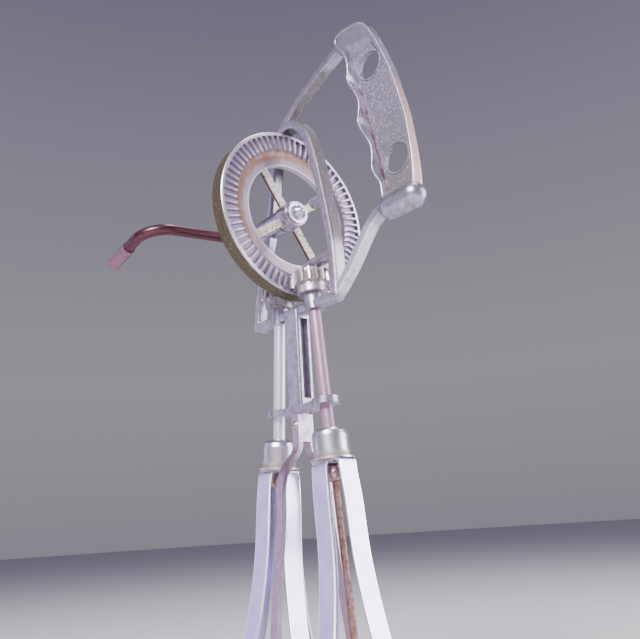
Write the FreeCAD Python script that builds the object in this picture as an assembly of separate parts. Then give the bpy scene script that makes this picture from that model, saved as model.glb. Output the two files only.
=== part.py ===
import FreeCAD, Part
import math
import os

from FreeCAD import Vector

# Hand-cranked rotary egg whisk. Millimetres, +Z up the stem, origin under the middle of the foot.
# The crank axle lies along X: the crank is on the -X side and the handle on the +X side.

# ---- overall sizes ----
axle_z = 238.0              # height of the crank axle above the foot
frame_width = 5.8           # bars of the casting, across Y
bar_thick = 4.1             # bars of the casting, in the XZ plane
front_bar_width = 6.6       # the arch and the front bar are stouter
front_bar_thick = 4.6
bar_round = 1.2             # rounding on the bars' long edges

# ---- big wheel ----
wheel_radius = 40.0
wheel_teeth = 70
rim_width = 7.6             # over both lips
lip_height = 1.6            # radial height of the lip outside the teeth
tooth_length = 7.1          # radial length of a face tooth
tooth_tip_x = 3.7           # face teeth reach this far from the wheel's middle plane
tooth_root_x = 2.3
tooth_tip_width = 1.0
tooth_base_width = 1.65
ring_width = 6.9            # smooth ring between the teeth and the window
ring_thick = 2.6
spoke_width = 4.2
spoke_front_x = -0.6        # face of the spokes
spoke_thick = 1.6
spoke_rib_depth = 1.2       # rib behind each spoke
spoke_count = 4
spoke_turn = 56.0           # degrees from +Z towards +Y to the first spoke
hub_radius = 6.2
hub_front_x = 4.0
hub_back_x = -4.7
hub_pin_x = -3.6            # cross pin through the hub and the axle
hub_pin_inset = 0.3         # pin ends below the hub's surface
hub_round = 0.8

# ---- crank ----
rod_radius = 2.5
crank_plane_x = -33.5       # plane in which the arm swings
crank_length = 55.4         # axle to handle axis
crank_droop = 5.3           # degrees below -Y at rest
crank_inner_bend = 7.0
crank_outer_bend = 13.0
crank_handle_length = 34.6  # arm plane to the rod's end, along the handle
crank_handle_tilt = 10.2    # degrees the handle dips below -X at rest
ferrule_radius = 3.0
ferrule_length = 18.0
ferrule_overhang = 2.5      # closed end beyond the rod
ferrule_round = 1.9
thread_radius = 1.8         # turned-down end of the axle
thread_length = 3.2
thrust_washer_radius = 5.0
hub_washer_radius = 5.3
hub_washer_thick = 1.2
nut_profile = [(3.5, 0.0), (3.5, 0.9), (2.7, 1.5), (1.6, 3.1), (0.8, 3.7)]  # radius, height above the washer
nut_height = 3.8

# ---- beaters ----
pinion_teeth = 16
splay_slope = 0.084         # sideways run of a beater's axis per unit of height
mesh_radius = 35.0          # wheel radius at which a pinion meshes
mesh_offset = 11.4          # pinion axis from the wheel's middle plane, at the mesh
pinion_tip = 8.5
pinion_root = 7.2
pinion_tooth_tip_width = 0.7
pinion_tooth_base_width = 1.4
pinion_above_mesh = 3.6
pinion_below_mesh = 2.4
skirt_radius = 6.6
skirt_height = 4.2
pinion_pin_turn = 40.0      # degrees about the shaft
pinion_pin_inset = 0.5      # pin ends below the skirt's surface
shaft_radius = 2.65
spigot_radius = 1.6
spigot_length = 2.8         # thin top end of the shaft, in the peg
stub_length = 2.6           # thin lower end of the shaft, under the cap
cap_radius = 7.4
cap_height = 12.8
cap_top_drop = 65.2         # mesh point down to the top of the cap, along the axis
cap_flange_radius = 8.75
cap_flange_thick = 0.7
blade_width = 8.6
blade_thick = 0.8
blade_drop = 118.6          # under the cap's flange to the lowest blade, along the axis
nest_gap = 0.05             # between the two blades of a whisk, at the head and the foot
ball_radius = 3.75
ball_flat = 3.2             # ball's centre to its flat top
spindle_radius = 1.4
pivot_radius = 1.1
collar_radius = 3.2
collar_height = 2.0
collar_round = 0.6

# ---- handle ----
grip_front_depth = 9.0      # across Y, at the finger side
grip_back_depth = 4.0       # across Y, at the palm side
grip_width = 18.0           # finger side to palm side
finger_rim = 0.9            # width of the rim round the trays
palm_rim = 1.6
grip_web = 1.4              # floor between the two trays
grip_hole_radius = 5.9
guard_radius = 5.2
guard_front_x = 57.2
guard_back_x = 78.8
guard_drop = 20.9           # axle down to the guard's middle

# ---- stem, plate, legs and foot ----
cross_bar_drop = 46.6       # axle down to the cross bar's middle
cross_bar_half = 27.0
cross_bar_thick = 4.0
cross_bar_width = 6.1       # across Y
boss_radius = 4.2           # bearing boss of a shaft, on the cross bar
boss_height = 7.2
rear_boss_radius = 5.5      # bearing boss of the axle
rear_boss_end_x = -20.5
front_boss_radius = 2.8     # plain boss facing the axle's nut
front_boss_x = 15.0
front_boss_end_x = 24.5     # inside the front bar
front_boss_round = 1.6
stem_width = 9.2
stem_depth = 8.0
stem_groove = 3.0
groove_margin = 3.5         # groove's ends from the plate and from the cross bar
plate_drop = 88.8           # axle down to the lower plate's middle
plate_thick = 2.8
eye_radius = 5.8
eye_arm_width = 7.5
peg_radius = 2.5
peg_nose_x = 7.6            # end of a peg, beside the wheel
peg_nose_round = 0.8
rear_peg_root_x = 24.5      # inside the rear bar
front_peg_root_x = 27.5     # inside the front bar
tongue_length = 13.0        # below the plate, between the legs
tongue_thick = 4.0
rivet_drop = 96.3           # axle down to the rivet through the legs
leg_width = 4.2
leg_thick = 2.0
foot_bar_thick = 2.5
foot_bar_width = 8.0
foot_bar_overhang = 5.0     # bar beyond each pivot
foot_floor = 0.5            # bar left under the rivet and under the spindles

# ---- fits ----
running_gap = 0.06          # radial, shafts and the axle in their bores
seat_gap = 0.02             # radial, pieces fixed on a shaft
end_gap = 0.15              # axial, faces that turn against each other
pin_radius = 0.8
rivet_radius = 1.1
rivet_head = 1.9
rivet_head_height = 0.9
rivet_head_taper = 0.55

# ---- worked out from the sizes above ----
tooth_out = wheel_radius - lip_height
tooth_in = tooth_out - tooth_length
window_radius = tooth_in - ring_width
splay = math.degrees(math.atan(splay_slope))
mesh_z = axle_z - mesh_radius
spigot_top = pinion_above_mesh + 3.4
peg_z = mesh_z + spigot_top
cross_bar_z = axle_z - cross_bar_drop
plate_z = axle_z - plate_drop
rivet_z = axle_z - rivet_drop
leg_top_z = axle_z - 91.7     # just under the lower plate
leg_bend_z = axle_z - 104.0   # the legs run straight down the tongue to here
flange_drop = cap_top_drop + cap_height
blade_bottom = flange_drop + blade_drop
X_AXIS = Vector(1, 0, 0)
Y_AXIS = Vector(0, 1, 0)
Z_AXIS = Vector(0, 0, 1)


# ---------------------------------------------------------------- helpers
def cylinder(radius, start, end):
    """A round bar between two points."""
    run = end - start
    return Part.makeCylinder(radius, run.Length, start, run)


def revolved(profile, axis):
    """A solid turned about the X or Z axis from (radius, height) points."""
    if axis is X_AXIS:
        points = [Vector(h, 0, r) for r, h in profile]
    else:
        points = [Vector(r, 0, h) for r, h in profile]
    points.append(points[0])
    return Part.Face(Part.makePolygon(points)).revolve(Vector(0, 0, 0), axis, 360)


def flat_prism(points, depth):
    """An outline of (x, z) points in the XZ plane, drawn out evenly to both sides of y = 0."""
    corners = [Vector(x, -depth / 2, z) for x, z in points]
    corners.append(corners[0])
    return Part.Face(Part.makePolygon(corners)).extrude(Vector(0, depth, 0))


def spline(points):
    curve = Part.BSplineCurve()
    curve.interpolate(points)
    return curve


def offset_curve(middle, distance, samples):
    """A curve that runs beside a middle curve in the XZ plane, to its left."""
    first, last = middle.FirstParameter, middle.LastParameter
    beside = []
    for step in range(samples + 1):
        place = first + (last - first) * step / samples
        along = middle.tangent(place)[0]
        beside.append(middle.value(place) + Vector(-along.z, 0, along.x) * distance)
    return spline(beside)


def curved_slab(points, thick, depth, shift=0.0):
    """A slab that follows a curve through (x, z) points, shifted to the curve's left."""
    middle = spline([Vector(x, -depth / 2, z) for x, z in points])
    samples = 2 * len(points)
    left = offset_curve(middle, shift + thick / 2, samples)
    right = offset_curve(middle, shift - thick / 2, samples)
    ends = [
        Part.LineSegment(left.EndPoint, right.EndPoint),
        Part.LineSegment(right.StartPoint, left.StartPoint),
    ]
    outline = Part.Wire([left.toShape(), ends[0].toShape(), right.toShape(), ends[1].toShape()])
    return Part.Face(outline).extrude(Vector(0, depth, 0))


def rounded_bar(points, depth=frame_width, thick=bar_thick):
    """A curved slab with its four long edges rounded."""
    slab = curved_slab(points, thick, depth)
    lengthwise = [e for e in slab.Edges if abs(e.tangentAt(e.FirstParameter).y) < 0.5]
    long_edges = [e for e in lengthwise if e.Length > 2 * thick]
    return slab.makeFillet(bar_round, long_edges)


def from_axle(points):
    """Turns (x, height above the axle) points into (x, z) points."""
    return [(x, axle_z + rise) for x, rise in points]


def on_beater(shape, side):
    """Moves a piece built about Z, with the mesh point at its origin, onto one beater's axis."""
    placed = shape.copy()
    placed.rotate(Vector(0, 0, 0), Y_AXIS, -side * splay)
    placed.translate(Vector(side * mesh_offset, 0, mesh_z))
    return placed


def beater_axis_x(z):
    """Distance of a beater's axis from the middle plane at height z."""
    return mesh_offset + splay_slope * (mesh_z - z)


# ---------------------------------------------------------------- frame casting
rear_bar = from_axle(
    [(-27.0, -46.6), (-26.8, -40.0), (-23.6, -28.0), (-18.5, -12.0), (-14.6, 2.0), (-11.0, 17.0),
     (-8.8, 29.0)]
)
strut = from_axle(
    [(-8.8, 29.0), (-8.6, 36.5), (-5.8, 42.6), (0.5, 47.2), (12.0, 53.6), (23.0, 58.2),
     (32.5, 61.4), (43.6, 64.4)]
)
arch_bar = from_axle(
    [(-5.8, 42.6), (-1.5, 44.2), (1.8, 44.8), (6.5, 44.0), (11.2, 40.4), (15.6, 34.4),
     (20.0, 22.5), (23.2, 8.0),
     (24.8, -1.0)]
)
front_bar = from_axle([(24.8, -1.0), (27.0, -14.0), (28.4, -26.0), (28.6, -38.0), (28.4, -46.6)])
lower_strut = from_axle([(26.0, -47.4), (30.9, -44.1), (42.6, -33.2), (54.4, -22.0), (60.0, -20.0)])
grip_front = from_axle(
    [(46.4, 56.5), (48.0, 52.0), (48.2, 46.9), (47.6, 43.1), (49.2, 38.5), (51.8, 33.4),
     (53.0, 28.7), (52.5, 24.2),
     (51.8, 20.7), (53.3, 15.6), (55.7, 10.9), (57.5, 6.2), (57.7, 1.0), (57.2, -3.2),
     (58.8, -7.7), (60.8, -11.8),
     (61.6, -21.0)]
)
grip_crown = from_axle([(42.2, 63.6), (42.8, 67.4), (46.0, 68.8), (50.0, 68.9), (55.0, 68.0), (59.0, 65.0)])
grip_back = from_axle(
    [(62.4, 59.0), (66.0, 50.1), (69.2, 40.9), (71.5, 33.2), (73.2, 25.2), (74.6, 19.1),
     (75.9, 11.7), (76.6, 3.3),
     (77.0, -2.7), (77.1, -7.7), (77.0, -14.0), (75.6, -21.0)]
)
grip_lean = Vector(0.186, 0, -0.983)    # way down the handle
tray_mouth_top = from_axle([(48.6, 59.6), (59.0, 60.5)])    # finger side, palm side
tray_floor_top = from_axle([(49.3, 53.8), (62.6, 54.2)])
tray_crease_foot = from_axle([(63.4, -21.0)])
grip_hole_centres = from_axle([(58.4, 45.6), (68.1, -2.4)])

def curve_at(points, y):
    """A curve through (x, z) points at depth y."""
    return spline([Vector(x, y, z) for x, z in points])


def grip_block():
    """The handle's outline, drawn out across Y."""
    y = -grip_front_depth / 2
    front, back = curve_at(grip_front, y), curve_at(grip_back, y)
    crown = spline([front.StartPoint] + [Vector(x, y, z) for x, z in grip_crown] + [back.StartPoint])
    floor = Part.LineSegment(front.EndPoint, back.EndPoint)
    outline = Part.Wire([front.toShape(), floor.toShape(), back.toShape(), crown.toShape()])
    return Part.Face(outline).extrude(Vector(0, grip_front_depth, 0))


def tray_edge(points, y):
    """A curve down one side of a tray, paced by its height so that mouth and floor edges pair up."""
    top, foot = points[0][1], points[-1][1]
    curve = Part.BSplineCurve()
    curve.interpolate(
        Points=[Vector(x, y, z) for x, z in points], Parameters=[(top - z) / (top - foot) for _, z in points]
    )
    return curve


def tray_wire(front, back, y):
    """The tray's outline at depth y: a front and a back edge joined by straight lines."""
    left, right = tray_edge(front, y), tray_edge(back, y)
    top = Part.LineSegment(right.StartPoint, left.StartPoint)
    floor = Part.LineSegment(left.EndPoint, right.EndPoint)
    return Part.Wire([left.toShape(), floor.toShape(), right.toShape(), top.toShape()])


def tray(side):
    """One tray of the handle: its mouth follows the finger waves, its floor starts at a straight crease."""
    inner_back = [(x - palm_rim, z) for x, z in grip_back[1:]]
    mouth_front = tray_mouth_top[:1] + [(x + finger_rim, z) for x, z in grip_front[1:]]
    mouth = tray_wire(mouth_front, tray_mouth_top[1:] + inner_back, side * grip_front_depth / 2)
    floor_front = tray_floor_top[:1] + tray_crease_foot
    floor = tray_wire(floor_front, tray_floor_top[1:] + inner_back, side * grip_web / 2)
    return Part.makeLoft([mouth, floor], True, True)


def palm_taper(side):
    """What is cut off one side of the handle, so that it narrows from the fingers to the palm."""
    across = Vector(-grip_lean.z, 0, grip_lean.x)
    start = Vector(grip_front[0][0], side * grip_front_depth / 2, grip_front[0][1]) - grip_lean * 30
    narrow = Vector(0, side * (grip_back_depth - grip_front_depth) / 2, 0)
    corners = [start, start + across * grip_width * 2, start + across * grip_width * 2 + narrow * 2, start]
    return Part.Face(Part.makePolygon(corners)).extrude(grip_lean * 140)


def grip():
    """A shallow tray on each side of a thin web, with two round holes through the web."""
    cuts = [tray(-1), tray(1), palm_taper(-1), palm_taper(1)]
    for x, z in grip_hole_centres:
        cuts.append(cylinder(grip_hole_radius, Vector(x, -grip_front_depth, z), Vector(x, grip_front_depth, z)))
    return grip_block().cut(cuts)


def guard():
    """The flared foot of the handle: a round-ended bar."""
    height = axle_z - guard_drop
    front = Vector(guard_front_x + guard_radius, 0, height)
    back = Vector(guard_back_x - guard_radius, 0, height)
    ends = [Part.makeSphere(guard_radius, front), Part.makeSphere(guard_radius, back)]
    return cylinder(guard_radius, front, back).fuse(ends)


def stem():
    """The upright between the cross bar and the leg rivet, grooved on both sides."""
    low, high = plate_z - plate_thick / 2, cross_bar_z
    post = Part.makeBox(stem_width, stem_depth, high - low, Vector(-stem_width / 2, -stem_depth / 2, low))
    upright = [e for e in post.Edges if abs(e.tangentAt(e.FirstParameter).z) > 0.5]
    post = post.makeFillet(bar_round, upright)
    groove_width = stem_depth / 2
    groove_low, groove_high = plate_z + groove_margin, cross_bar_z - groove_margin
    for side in (-1, 1):
        face_x = side * stem_width / 2
        groove = Part.makeBox(
            stem_groove, groove_width, groove_high - groove_low,
            Vector(min(face_x, face_x - side * stem_groove), -groove_width / 2, groove_low),
        )
        post = post.cut(groove)
    tongue = Part.makeBox(
        leg_width, tongue_thick, tongue_length + 1,
        Vector(-leg_width / 2, -tongue_thick / 2, low - tongue_length),
    )
    return post.fuse(tongue)


def plate_half(side):
    """One arm of the lower plate: square to its beater's axis, with a round eye."""
    drop = (mesh_z - plate_z) / math.cos(math.radians(splay))
    eye = cylinder(eye_radius, Vector(0, 0, -drop - plate_thick / 2), Vector(0, 0, -drop + plate_thick / 2))
    reach = beater_axis_x(plate_z)
    low_x = 0 if side < 0 else -reach
    arm = Part.makeBox(
        reach, eye_arm_width, plate_thick, Vector(low_x, -eye_arm_width / 2, -drop - plate_thick / 2)
    )
    return on_beater(eye.fuse(arm), side)


def bearing_boss(side):
    """The boss under the cross bar, square to the beater's axis."""
    top = -pinion_below_mesh - skirt_height - end_gap
    return on_beater(cylinder(boss_radius, Vector(0, 0, top - boss_height), Vector(0, 0, top)), side)


def peg(side):
    """The peg above a pinion, which carries the top of its shaft."""
    nose_x = side * peg_nose_x
    root_x = front_peg_root_x if side > 0 else -rear_peg_root_x
    bar = cylinder(peg_radius, Vector(nose_x, 0, peg_z), Vector(root_x, 0, peg_z))
    nose = [e for e in bar.Edges if abs(e.CenterOfMass.x - nose_x) < 0.01 and e.Length > peg_radius]
    return bar.makeFillet(peg_nose_round, nose)


def shaft_bores(side):
    """What the beater's shaft needs cut out of the casting."""
    deep = cylinder(
        shaft_radius + running_gap, Vector(0, 0, -(mesh_z - plate_z) - 8), Vector(0, 0, pinion_above_mesh)
    )
    tip = cylinder(spigot_radius + running_gap, Vector(0, 0, 0), Vector(0, 0, spigot_top + end_gap))
    return on_beater(deep.fuse(tip), side)


def frame_casting():
    """Hoop, struts, handle, cross bar, stem and lower plate, cast in one."""
    cross_bar = rounded_bar(
        [(x, cross_bar_z) for x in (-cross_bar_half, -cross_bar_half / 3, cross_bar_half / 3, cross_bar_half + 1)],
        cross_bar_width, cross_bar_thick,
    )
    corner = cylinder(
        cross_bar_thick / 2 + 0.3, Vector(-cross_bar_half, -frame_width / 2, cross_bar_z),
        Vector(-cross_bar_half, frame_width / 2, cross_bar_z),
    )
    rear_boss = cylinder(
        rear_boss_radius, Vector(rear_boss_end_x, 0, axle_z), Vector(hub_back_x - 1.0, 0, axle_z)
    )
    front_boss = cylinder(
        front_boss_radius, Vector(front_boss_x, 0, axle_z), Vector(front_boss_end_x, 0, axle_z)
    )
    nose = [e for e in front_boss.Edges if abs(e.CenterOfMass.x - front_boss_x) < 0.01 and e.Length > 5]
    front_boss = front_boss.makeFillet(front_boss_round, nose)
    pieces = [
        cross_bar, corner, rear_boss, front_boss, rounded_bar(strut),
        rounded_bar(arch_bar, front_bar_width, front_bar_thick),
        rounded_bar(front_bar, front_bar_width, front_bar_thick),
        rounded_bar(lower_strut), grip(), guard(), stem(),
    ]
    for side in (-1, 1):
        pieces += [plate_half(side), bearing_boss(side), peg(side)]
    casting = rounded_bar(rear_bar).fuse(pieces)
    casting = casting.cut(
        [
            cylinder(rod_radius + running_gap, Vector(-30, 0, axle_z), Vector(0, 0, axle_z)),
            shaft_bores(-1),
            shaft_bores(1),
            cylinder(rivet_radius + seat_gap, Vector(0, -9, rivet_z), Vector(0, 9, rivet_z)),
        ]
    )
    return casting.removeSplitter()


# ---------------------------------------------------------------- wheel and crank
def wheel_disc():
    """Lips, tooth floor and smooth ring, turned about the axle."""
    lip, root, ring = rim_width / 2, tooth_root_x, ring_thick / 2
    half = [
        (window_radius, ring), (tooth_in - 2.0, ring), (tooth_in, root), (tooth_out, root),
        (tooth_out, lip), (wheel_radius - 0.4, lip), (wheel_radius, lip - 0.4),
    ]
    return revolved(half + [(r, -x) for r, x in reversed(half)], X_AXIS)


def face_tooth(side):
    """One radial tooth, pointing up, on one face of the wheel."""
    sink = 0.2
    base, tip = tooth_base_width / 2, tooth_tip_width / 2
    low, high = side * (tooth_root_x - sink), side * tooth_tip_x
    section = [Vector(low, -base, 0), Vector(low, base, 0), Vector(high, tip, 0), Vector(high, -tip, 0)]
    section.append(section[0])
    bar = Part.Face(Part.makePolygon(section)).extrude(Vector(0, 0, tooth_out + sink))
    sloped = [(low, tooth_in - 0.4), (high, tooth_in + 0.5), (high, tooth_out + sink), (low, tooth_out + sink)]
    return bar.common(flat_prism(sloped, 3 * tooth_base_width))


def spoke():
    """One spoke, pointing up: a flat front strip with a rib behind it."""
    inner, outer = hub_radius - 1, window_radius + 0.6
    length = outer - inner
    strip_x = spoke_front_x - spoke_thick
    rib_width = spoke_width * 0.4
    strip = Part.makeBox(spoke_thick, spoke_width, length, Vector(strip_x, -spoke_width / 2, inner))
    rib = Part.makeBox(
        spoke_rib_depth + 0.2, rib_width, length, Vector(strip_x - spoke_rib_depth, -rib_width / 2, inner)
    )
    front = [e for e in strip.Edges if abs(e.tangentAt(0).z) > 0.5 and e.CenterOfMass.x > strip_x + 1]
    return strip.makeFillet(0.6, front).fuse(rib)


def gear_wheel():
    hub = cylinder(hub_radius, Vector(hub_back_x, 0, 0), Vector(hub_front_x, 0, 0))
    rims = [e for e in hub.Edges if e.Length > hub_radius * 5]
    hub = hub.makeFillet(hub_round, rims)
    spokes = []
    for number in range(spoke_count):
        one = spoke()
        one.rotate(Vector(0, 0, 0), X_AXIS, -(spoke_turn + 360.0 * number / spoke_count))
        spokes.append(one)
    teeth = []
    pitch = 360.0 / wheel_teeth
    for side in (-1, 1):
        tooth = face_tooth(side)
        for number in range(wheel_teeth):
            one = tooth.copy()
            one.rotate(Vector(0, 0, 0), X_AXIS, (number + 0.5) * pitch)
            teeth.append(one)
    bore = cylinder(rod_radius + seat_gap, Vector(hub_back_x - 1, 0, 0), Vector(hub_front_x + 1, 0, 0))
    pin_hole = cylinder(
        pin_radius + seat_gap, Vector(hub_pin_x, 0, -hub_radius), Vector(hub_pin_x, 0, hub_radius)
    )
    wheel = wheel_disc().fuse([hub] + spokes).fuse(teeth).cut([bore, pin_hole])
    wheel.translate(Vector(0, 0, axle_z))
    return wheel


def crank_arm_way():
    """Unit vector along the arm."""
    droop = math.radians(crank_droop)
    return Vector(0, -math.cos(droop), -math.sin(droop))


def crank_handle_way():
    """Unit vector along the crank's handle, away from the arm."""
    tilt = math.radians(crank_handle_tilt)
    return Vector(-math.cos(tilt), 0, -math.sin(tilt))


def crank_elbow():
    """Where the middle lines of the arm and of the handle meet."""
    return Vector(crank_plane_x, 0, axle_z) + crank_arm_way() * crank_length


def bend(corner, before, after, radius):
    """The arc that rounds a corner between two directions."""
    turn = before.getAngle(after)
    reach = radius * math.tan(turn / 2)
    inward = (after - before).normalize()
    half_way = corner + inward * (radius / math.cos(turn / 2) - radius)
    return Part.Arc(corner - before * reach, half_way, corner + after * reach)


def crank_rod():
    """Axle, arm and handle bent from one rod, with a turned-down end for the nut."""
    back, arm, handle = Vector(-1, 0, 0), crank_arm_way(), crank_handle_way()
    shoulder = Vector(hub_front_x, 0, axle_z)
    first = bend(Vector(crank_plane_x, 0, axle_z), back, arm, crank_inner_bend)
    second = bend(crank_elbow(), arm, handle, crank_outer_bend)
    tip = crank_elbow() + handle * crank_handle_length
    runs = [
        Part.LineSegment(shoulder, first.StartPoint), first,
        Part.LineSegment(first.EndPoint, second.StartPoint), second, Part.LineSegment(second.EndPoint, tip),
    ]
    path = Part.Wire([run.toShape() for run in runs])
    section = Part.Wire([Part.Circle(shoulder, X_AXIS, rod_radius).toShape()])
    rod = path.makePipeShell([section], True, False)
    thread = cylinder(thread_radius, shoulder - X_AXIS, shoulder + X_AXIS * thread_length)
    pin_low, pin_high = Vector(hub_pin_x, 0, axle_z - hub_radius), Vector(hub_pin_x, 0, axle_z + hub_radius)
    pin_hole = cylinder(pin_radius + seat_gap, pin_low, pin_high)
    return rod.fuse(thread).cut(pin_hole)


def crank_ferrule():
    """A closed sleeve on the end of the crank's handle."""
    handle = crank_handle_way()
    tip = crank_elbow() + handle * crank_handle_length
    end = tip + handle * ferrule_overhang
    sleeve = cylinder(ferrule_radius, end, end - handle * ferrule_length)
    closed_end = [e for e in sleeve.Edges if e.CenterOfMass.sub(end).Length < 0.01]
    sleeve = sleeve.makeFillet(ferrule_round, closed_end)
    return sleeve.cut(cylinder(rod_radius + seat_gap, tip, tip - handle * ferrule_length))


def hub_pin():
    reach = hub_radius - hub_pin_inset
    return cylinder(pin_radius, Vector(hub_pin_x, 0, axle_z - reach), Vector(hub_pin_x, 0, axle_z + reach))


def ring(radius, bore, start_x, end_x):
    """A washer on the axle."""
    outer = cylinder(radius, Vector(start_x, 0, axle_z), Vector(end_x, 0, axle_z))
    return outer.cut(cylinder(bore, Vector(start_x - 1, 0, axle_z), Vector(end_x + 1, 0, axle_z)))


def thrust_washer():
    return ring(thrust_washer_radius, rod_radius + seat_gap, hub_back_x - 1.0 + end_gap, hub_back_x)


def hub_washer():
    return ring(hub_washer_radius, thread_radius + seat_gap, hub_front_x, hub_front_x + hub_washer_thick)


def axle_nut():
    """A domed nut that ends in a blunt cone."""
    start = hub_front_x + hub_washer_thick
    profile = [(0, start)] + [(radius, start + height) for radius, height in nut_profile]
    nut = revolved(profile + [(0, start + nut_height)], X_AXIS)
    nut.translate(Vector(0, 0, axle_z))
    bore_end = Vector(hub_front_x + thread_length, 0, axle_z)
    return nut.cut(cylinder(thread_radius + seat_gap, Vector(start - 1, 0, axle_z), bore_end))


# ---------------------------------------------------------------- beaters
def pinion():
    """A cone of straight teeth on a plain skirt, larger below so that its teeth stand square to the wheel."""
    top, bottom = pinion_above_mesh, -pinion_below_mesh

    def section(z):
        spread = -z * splay_slope
        root, tip = pinion_root + spread, pinion_tip + spread
        points = []
        for number in range(pinion_teeth):
            turn = 2 * math.pi * number / pinion_teeth
            for radius, across in (
                (root, -pinion_tooth_base_width / 2), (tip, -pinion_tooth_tip_width / 2),
                (tip, pinion_tooth_tip_width / 2), (root, pinion_tooth_base_width / 2),
            ):
                points.append(
                    Vector(
                        radius * math.cos(turn) - across * math.sin(turn),
                        radius * math.sin(turn) + across * math.cos(turn),
                        z,
                    )
                )
        points.append(points[0])
        return Part.makePolygon(points)

    toothed = Part.makeLoft([section(bottom), section(top)], True, True)
    skirt = cylinder(skirt_radius, Vector(0, 0, bottom - skirt_height), Vector(0, 0, bottom + 1))
    bore = cylinder(shaft_radius + seat_gap, Vector(0, 0, -20), Vector(0, 0, 20))
    pin_z = bottom - skirt_height / 2
    pin_hole = cylinder(pin_radius + seat_gap, Vector(-10, 0, pin_z), Vector(10, 0, pin_z))
    pin_hole.rotate(Vector(0, 0, 0), Z_AXIS, pinion_pin_turn)
    return toothed.fuse(skirt).cut([bore, pin_hole])


def pinion_pin():
    pin_z = -pinion_below_mesh - skirt_height / 2
    reach = skirt_radius - pinion_pin_inset
    pin = cylinder(pin_radius, Vector(-reach, 0, pin_z), Vector(reach, 0, pin_z))
    pin.rotate(Vector(0, 0, 0), Z_AXIS, pinion_pin_turn)
    return pin


def drive_shaft():
    """The shaft from the peg down through the cross bar and the plate to the ball."""
    shoulder = spigot_top - spigot_length
    main = cylinder(shaft_radius, Vector(0, 0, -flange_drop), Vector(0, 0, shoulder))
    spigot = cylinder(spigot_radius, Vector(0, 0, shoulder - 1), Vector(0, 0, spigot_top))
    stub = cylinder(spigot_radius, Vector(0, 0, -flange_drop - stub_length), Vector(0, 0, -flange_drop + 1))
    pin_z = -pinion_below_mesh - skirt_height / 2
    pin_hole = cylinder(pin_radius + seat_gap, Vector(-10, 0, pin_z), Vector(10, 0, pin_z))
    pin_hole.rotate(Vector(0, 0, 0), Z_AXIS, pinion_pin_turn)
    return main.fuse([spigot, stub]).cut(pin_hole)


def blade_cap():
    """The round cap over the heads of the blades, with a thin flange."""
    top, low = -cap_top_drop, -flange_drop
    profile = [
        (0, top), (cap_radius - 3.2, top), (cap_radius - 1.5, top - 0.5), (cap_radius - 0.5, top - 1.6),
        (cap_radius, top - 3.2),
        (cap_radius, low + cap_flange_thick), (cap_flange_radius, low + cap_flange_thick),
        (cap_flange_radius, low), (0, low),
    ]
    return revolved(profile, Z_AXIS).cut(
        cylinder(shaft_radius + seat_gap, Vector(0, 0, low - 1), Vector(0, 0, top + 1))
    )


def blade_curve(inset):
    """Half the outline of a bent blade, from its head out, down and in to its foot."""
    low, high = -blade_bottom, -flange_drop
    swell = [
        (8.6, high - 3.0), (9.3, high - 12), (9.9, high - 33), (11.8, high - 50), (14.9, high - 66),
        (18.8, high - 80), (22.0, high - 93), (22.4, high - 104), (18.6, high - 112.5), (11.5, low + 1.6),
    ]
    return [(r - inset, z) for r, z in swell]


def blade_strip(level):
    """A strip bent into a pear-shaped loop. level 0 is the outer strip, 1 the one nested in it."""
    inset = level * (blade_thick + nest_gap)
    top, low = -flange_drop - inset, -blade_bottom + inset
    y = -blade_width / 2
    halves = []
    for wall in (0.0, blade_thick):
        side_points = blade_curve(inset + wall)
        head = Vector(side_points[0][0] - 1.6, y, top - wall)
        foot = Vector(6.0, y, low + wall)
        points = [head, Vector(side_points[0][0] - 0.45, y, top - wall - 0.5)]
        points += [Vector(r, y, z) for r, z in side_points[:-1]]
        points += [Vector(side_points[-1][0], y, side_points[-1][1] + inset + wall), foot]
        halves.append(spline(points))
    outer, inner = halves
    right = [
        Part.LineSegment(Vector(0, y, top), outer.StartPoint).toShape(), outer.toShape(),
        Part.LineSegment(outer.EndPoint, Vector(0, y, low)).toShape(),
        Part.LineSegment(Vector(0, y, low), Vector(0, y, low + blade_thick)).toShape(),
        Part.LineSegment(Vector(0, y, low + blade_thick), inner.EndPoint).toShape(), inner.toShape(),
        Part.LineSegment(inner.StartPoint, Vector(0, y, top - blade_thick)).toShape(),
        Part.LineSegment(Vector(0, y, top - blade_thick), Vector(0, y, top)).toShape(),
    ]
    half = Part.Face(Part.Wire(right)).extrude(Vector(0, blade_width, 0))
    other = half.copy()
    other.rotate(Vector(0, 0, 0), Z_AXIS, 180)
    head_bore = cylinder(spigot_radius + seat_gap, Vector(0, 0, -flange_drop - 4), Vector(0, 0, -flange_drop + 1))
    foot_low, foot_high = Vector(0, 0, -blade_bottom - 1), Vector(0, 0, -blade_bottom + 4)
    foot_bore = cylinder(spindle_radius + seat_gap, foot_low, foot_high)
    strip = half.fuse(other).removeSplitter().cut([head_bore, foot_bore])
    strip.rotate(Vector(0, 0, 0), Z_AXIS, 90 * level)
    return strip


def ball_z():
    """Height of the ball's centre: its flat top seats under the inner blade's head."""
    return -flange_drop - 2 * blade_thick - nest_gap - ball_flat


def ball_nut():
    ball = Part.makeSphere(ball_radius, Vector(0, 0, ball_z()))
    flat = Part.makeBox(20, 20, 10, Vector(-10, -10, ball_z() + ball_flat))
    return ball.cut(
        [
            flat,
            cylinder(spigot_radius + seat_gap, Vector(0, 0, -flange_drop - stub_length), Vector(0, 0, 0)),
            cylinder(spindle_radius + seat_gap, Vector(0, 0, ball_z() - 9), Vector(0, 0, ball_z() - 0.4)),
        ]
    )


def spindle_foot():
    """Lowest point of the spindle, along the axis from the mesh point."""
    return -(mesh_z - foot_floor - end_gap) / math.cos(math.radians(splay))


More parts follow.
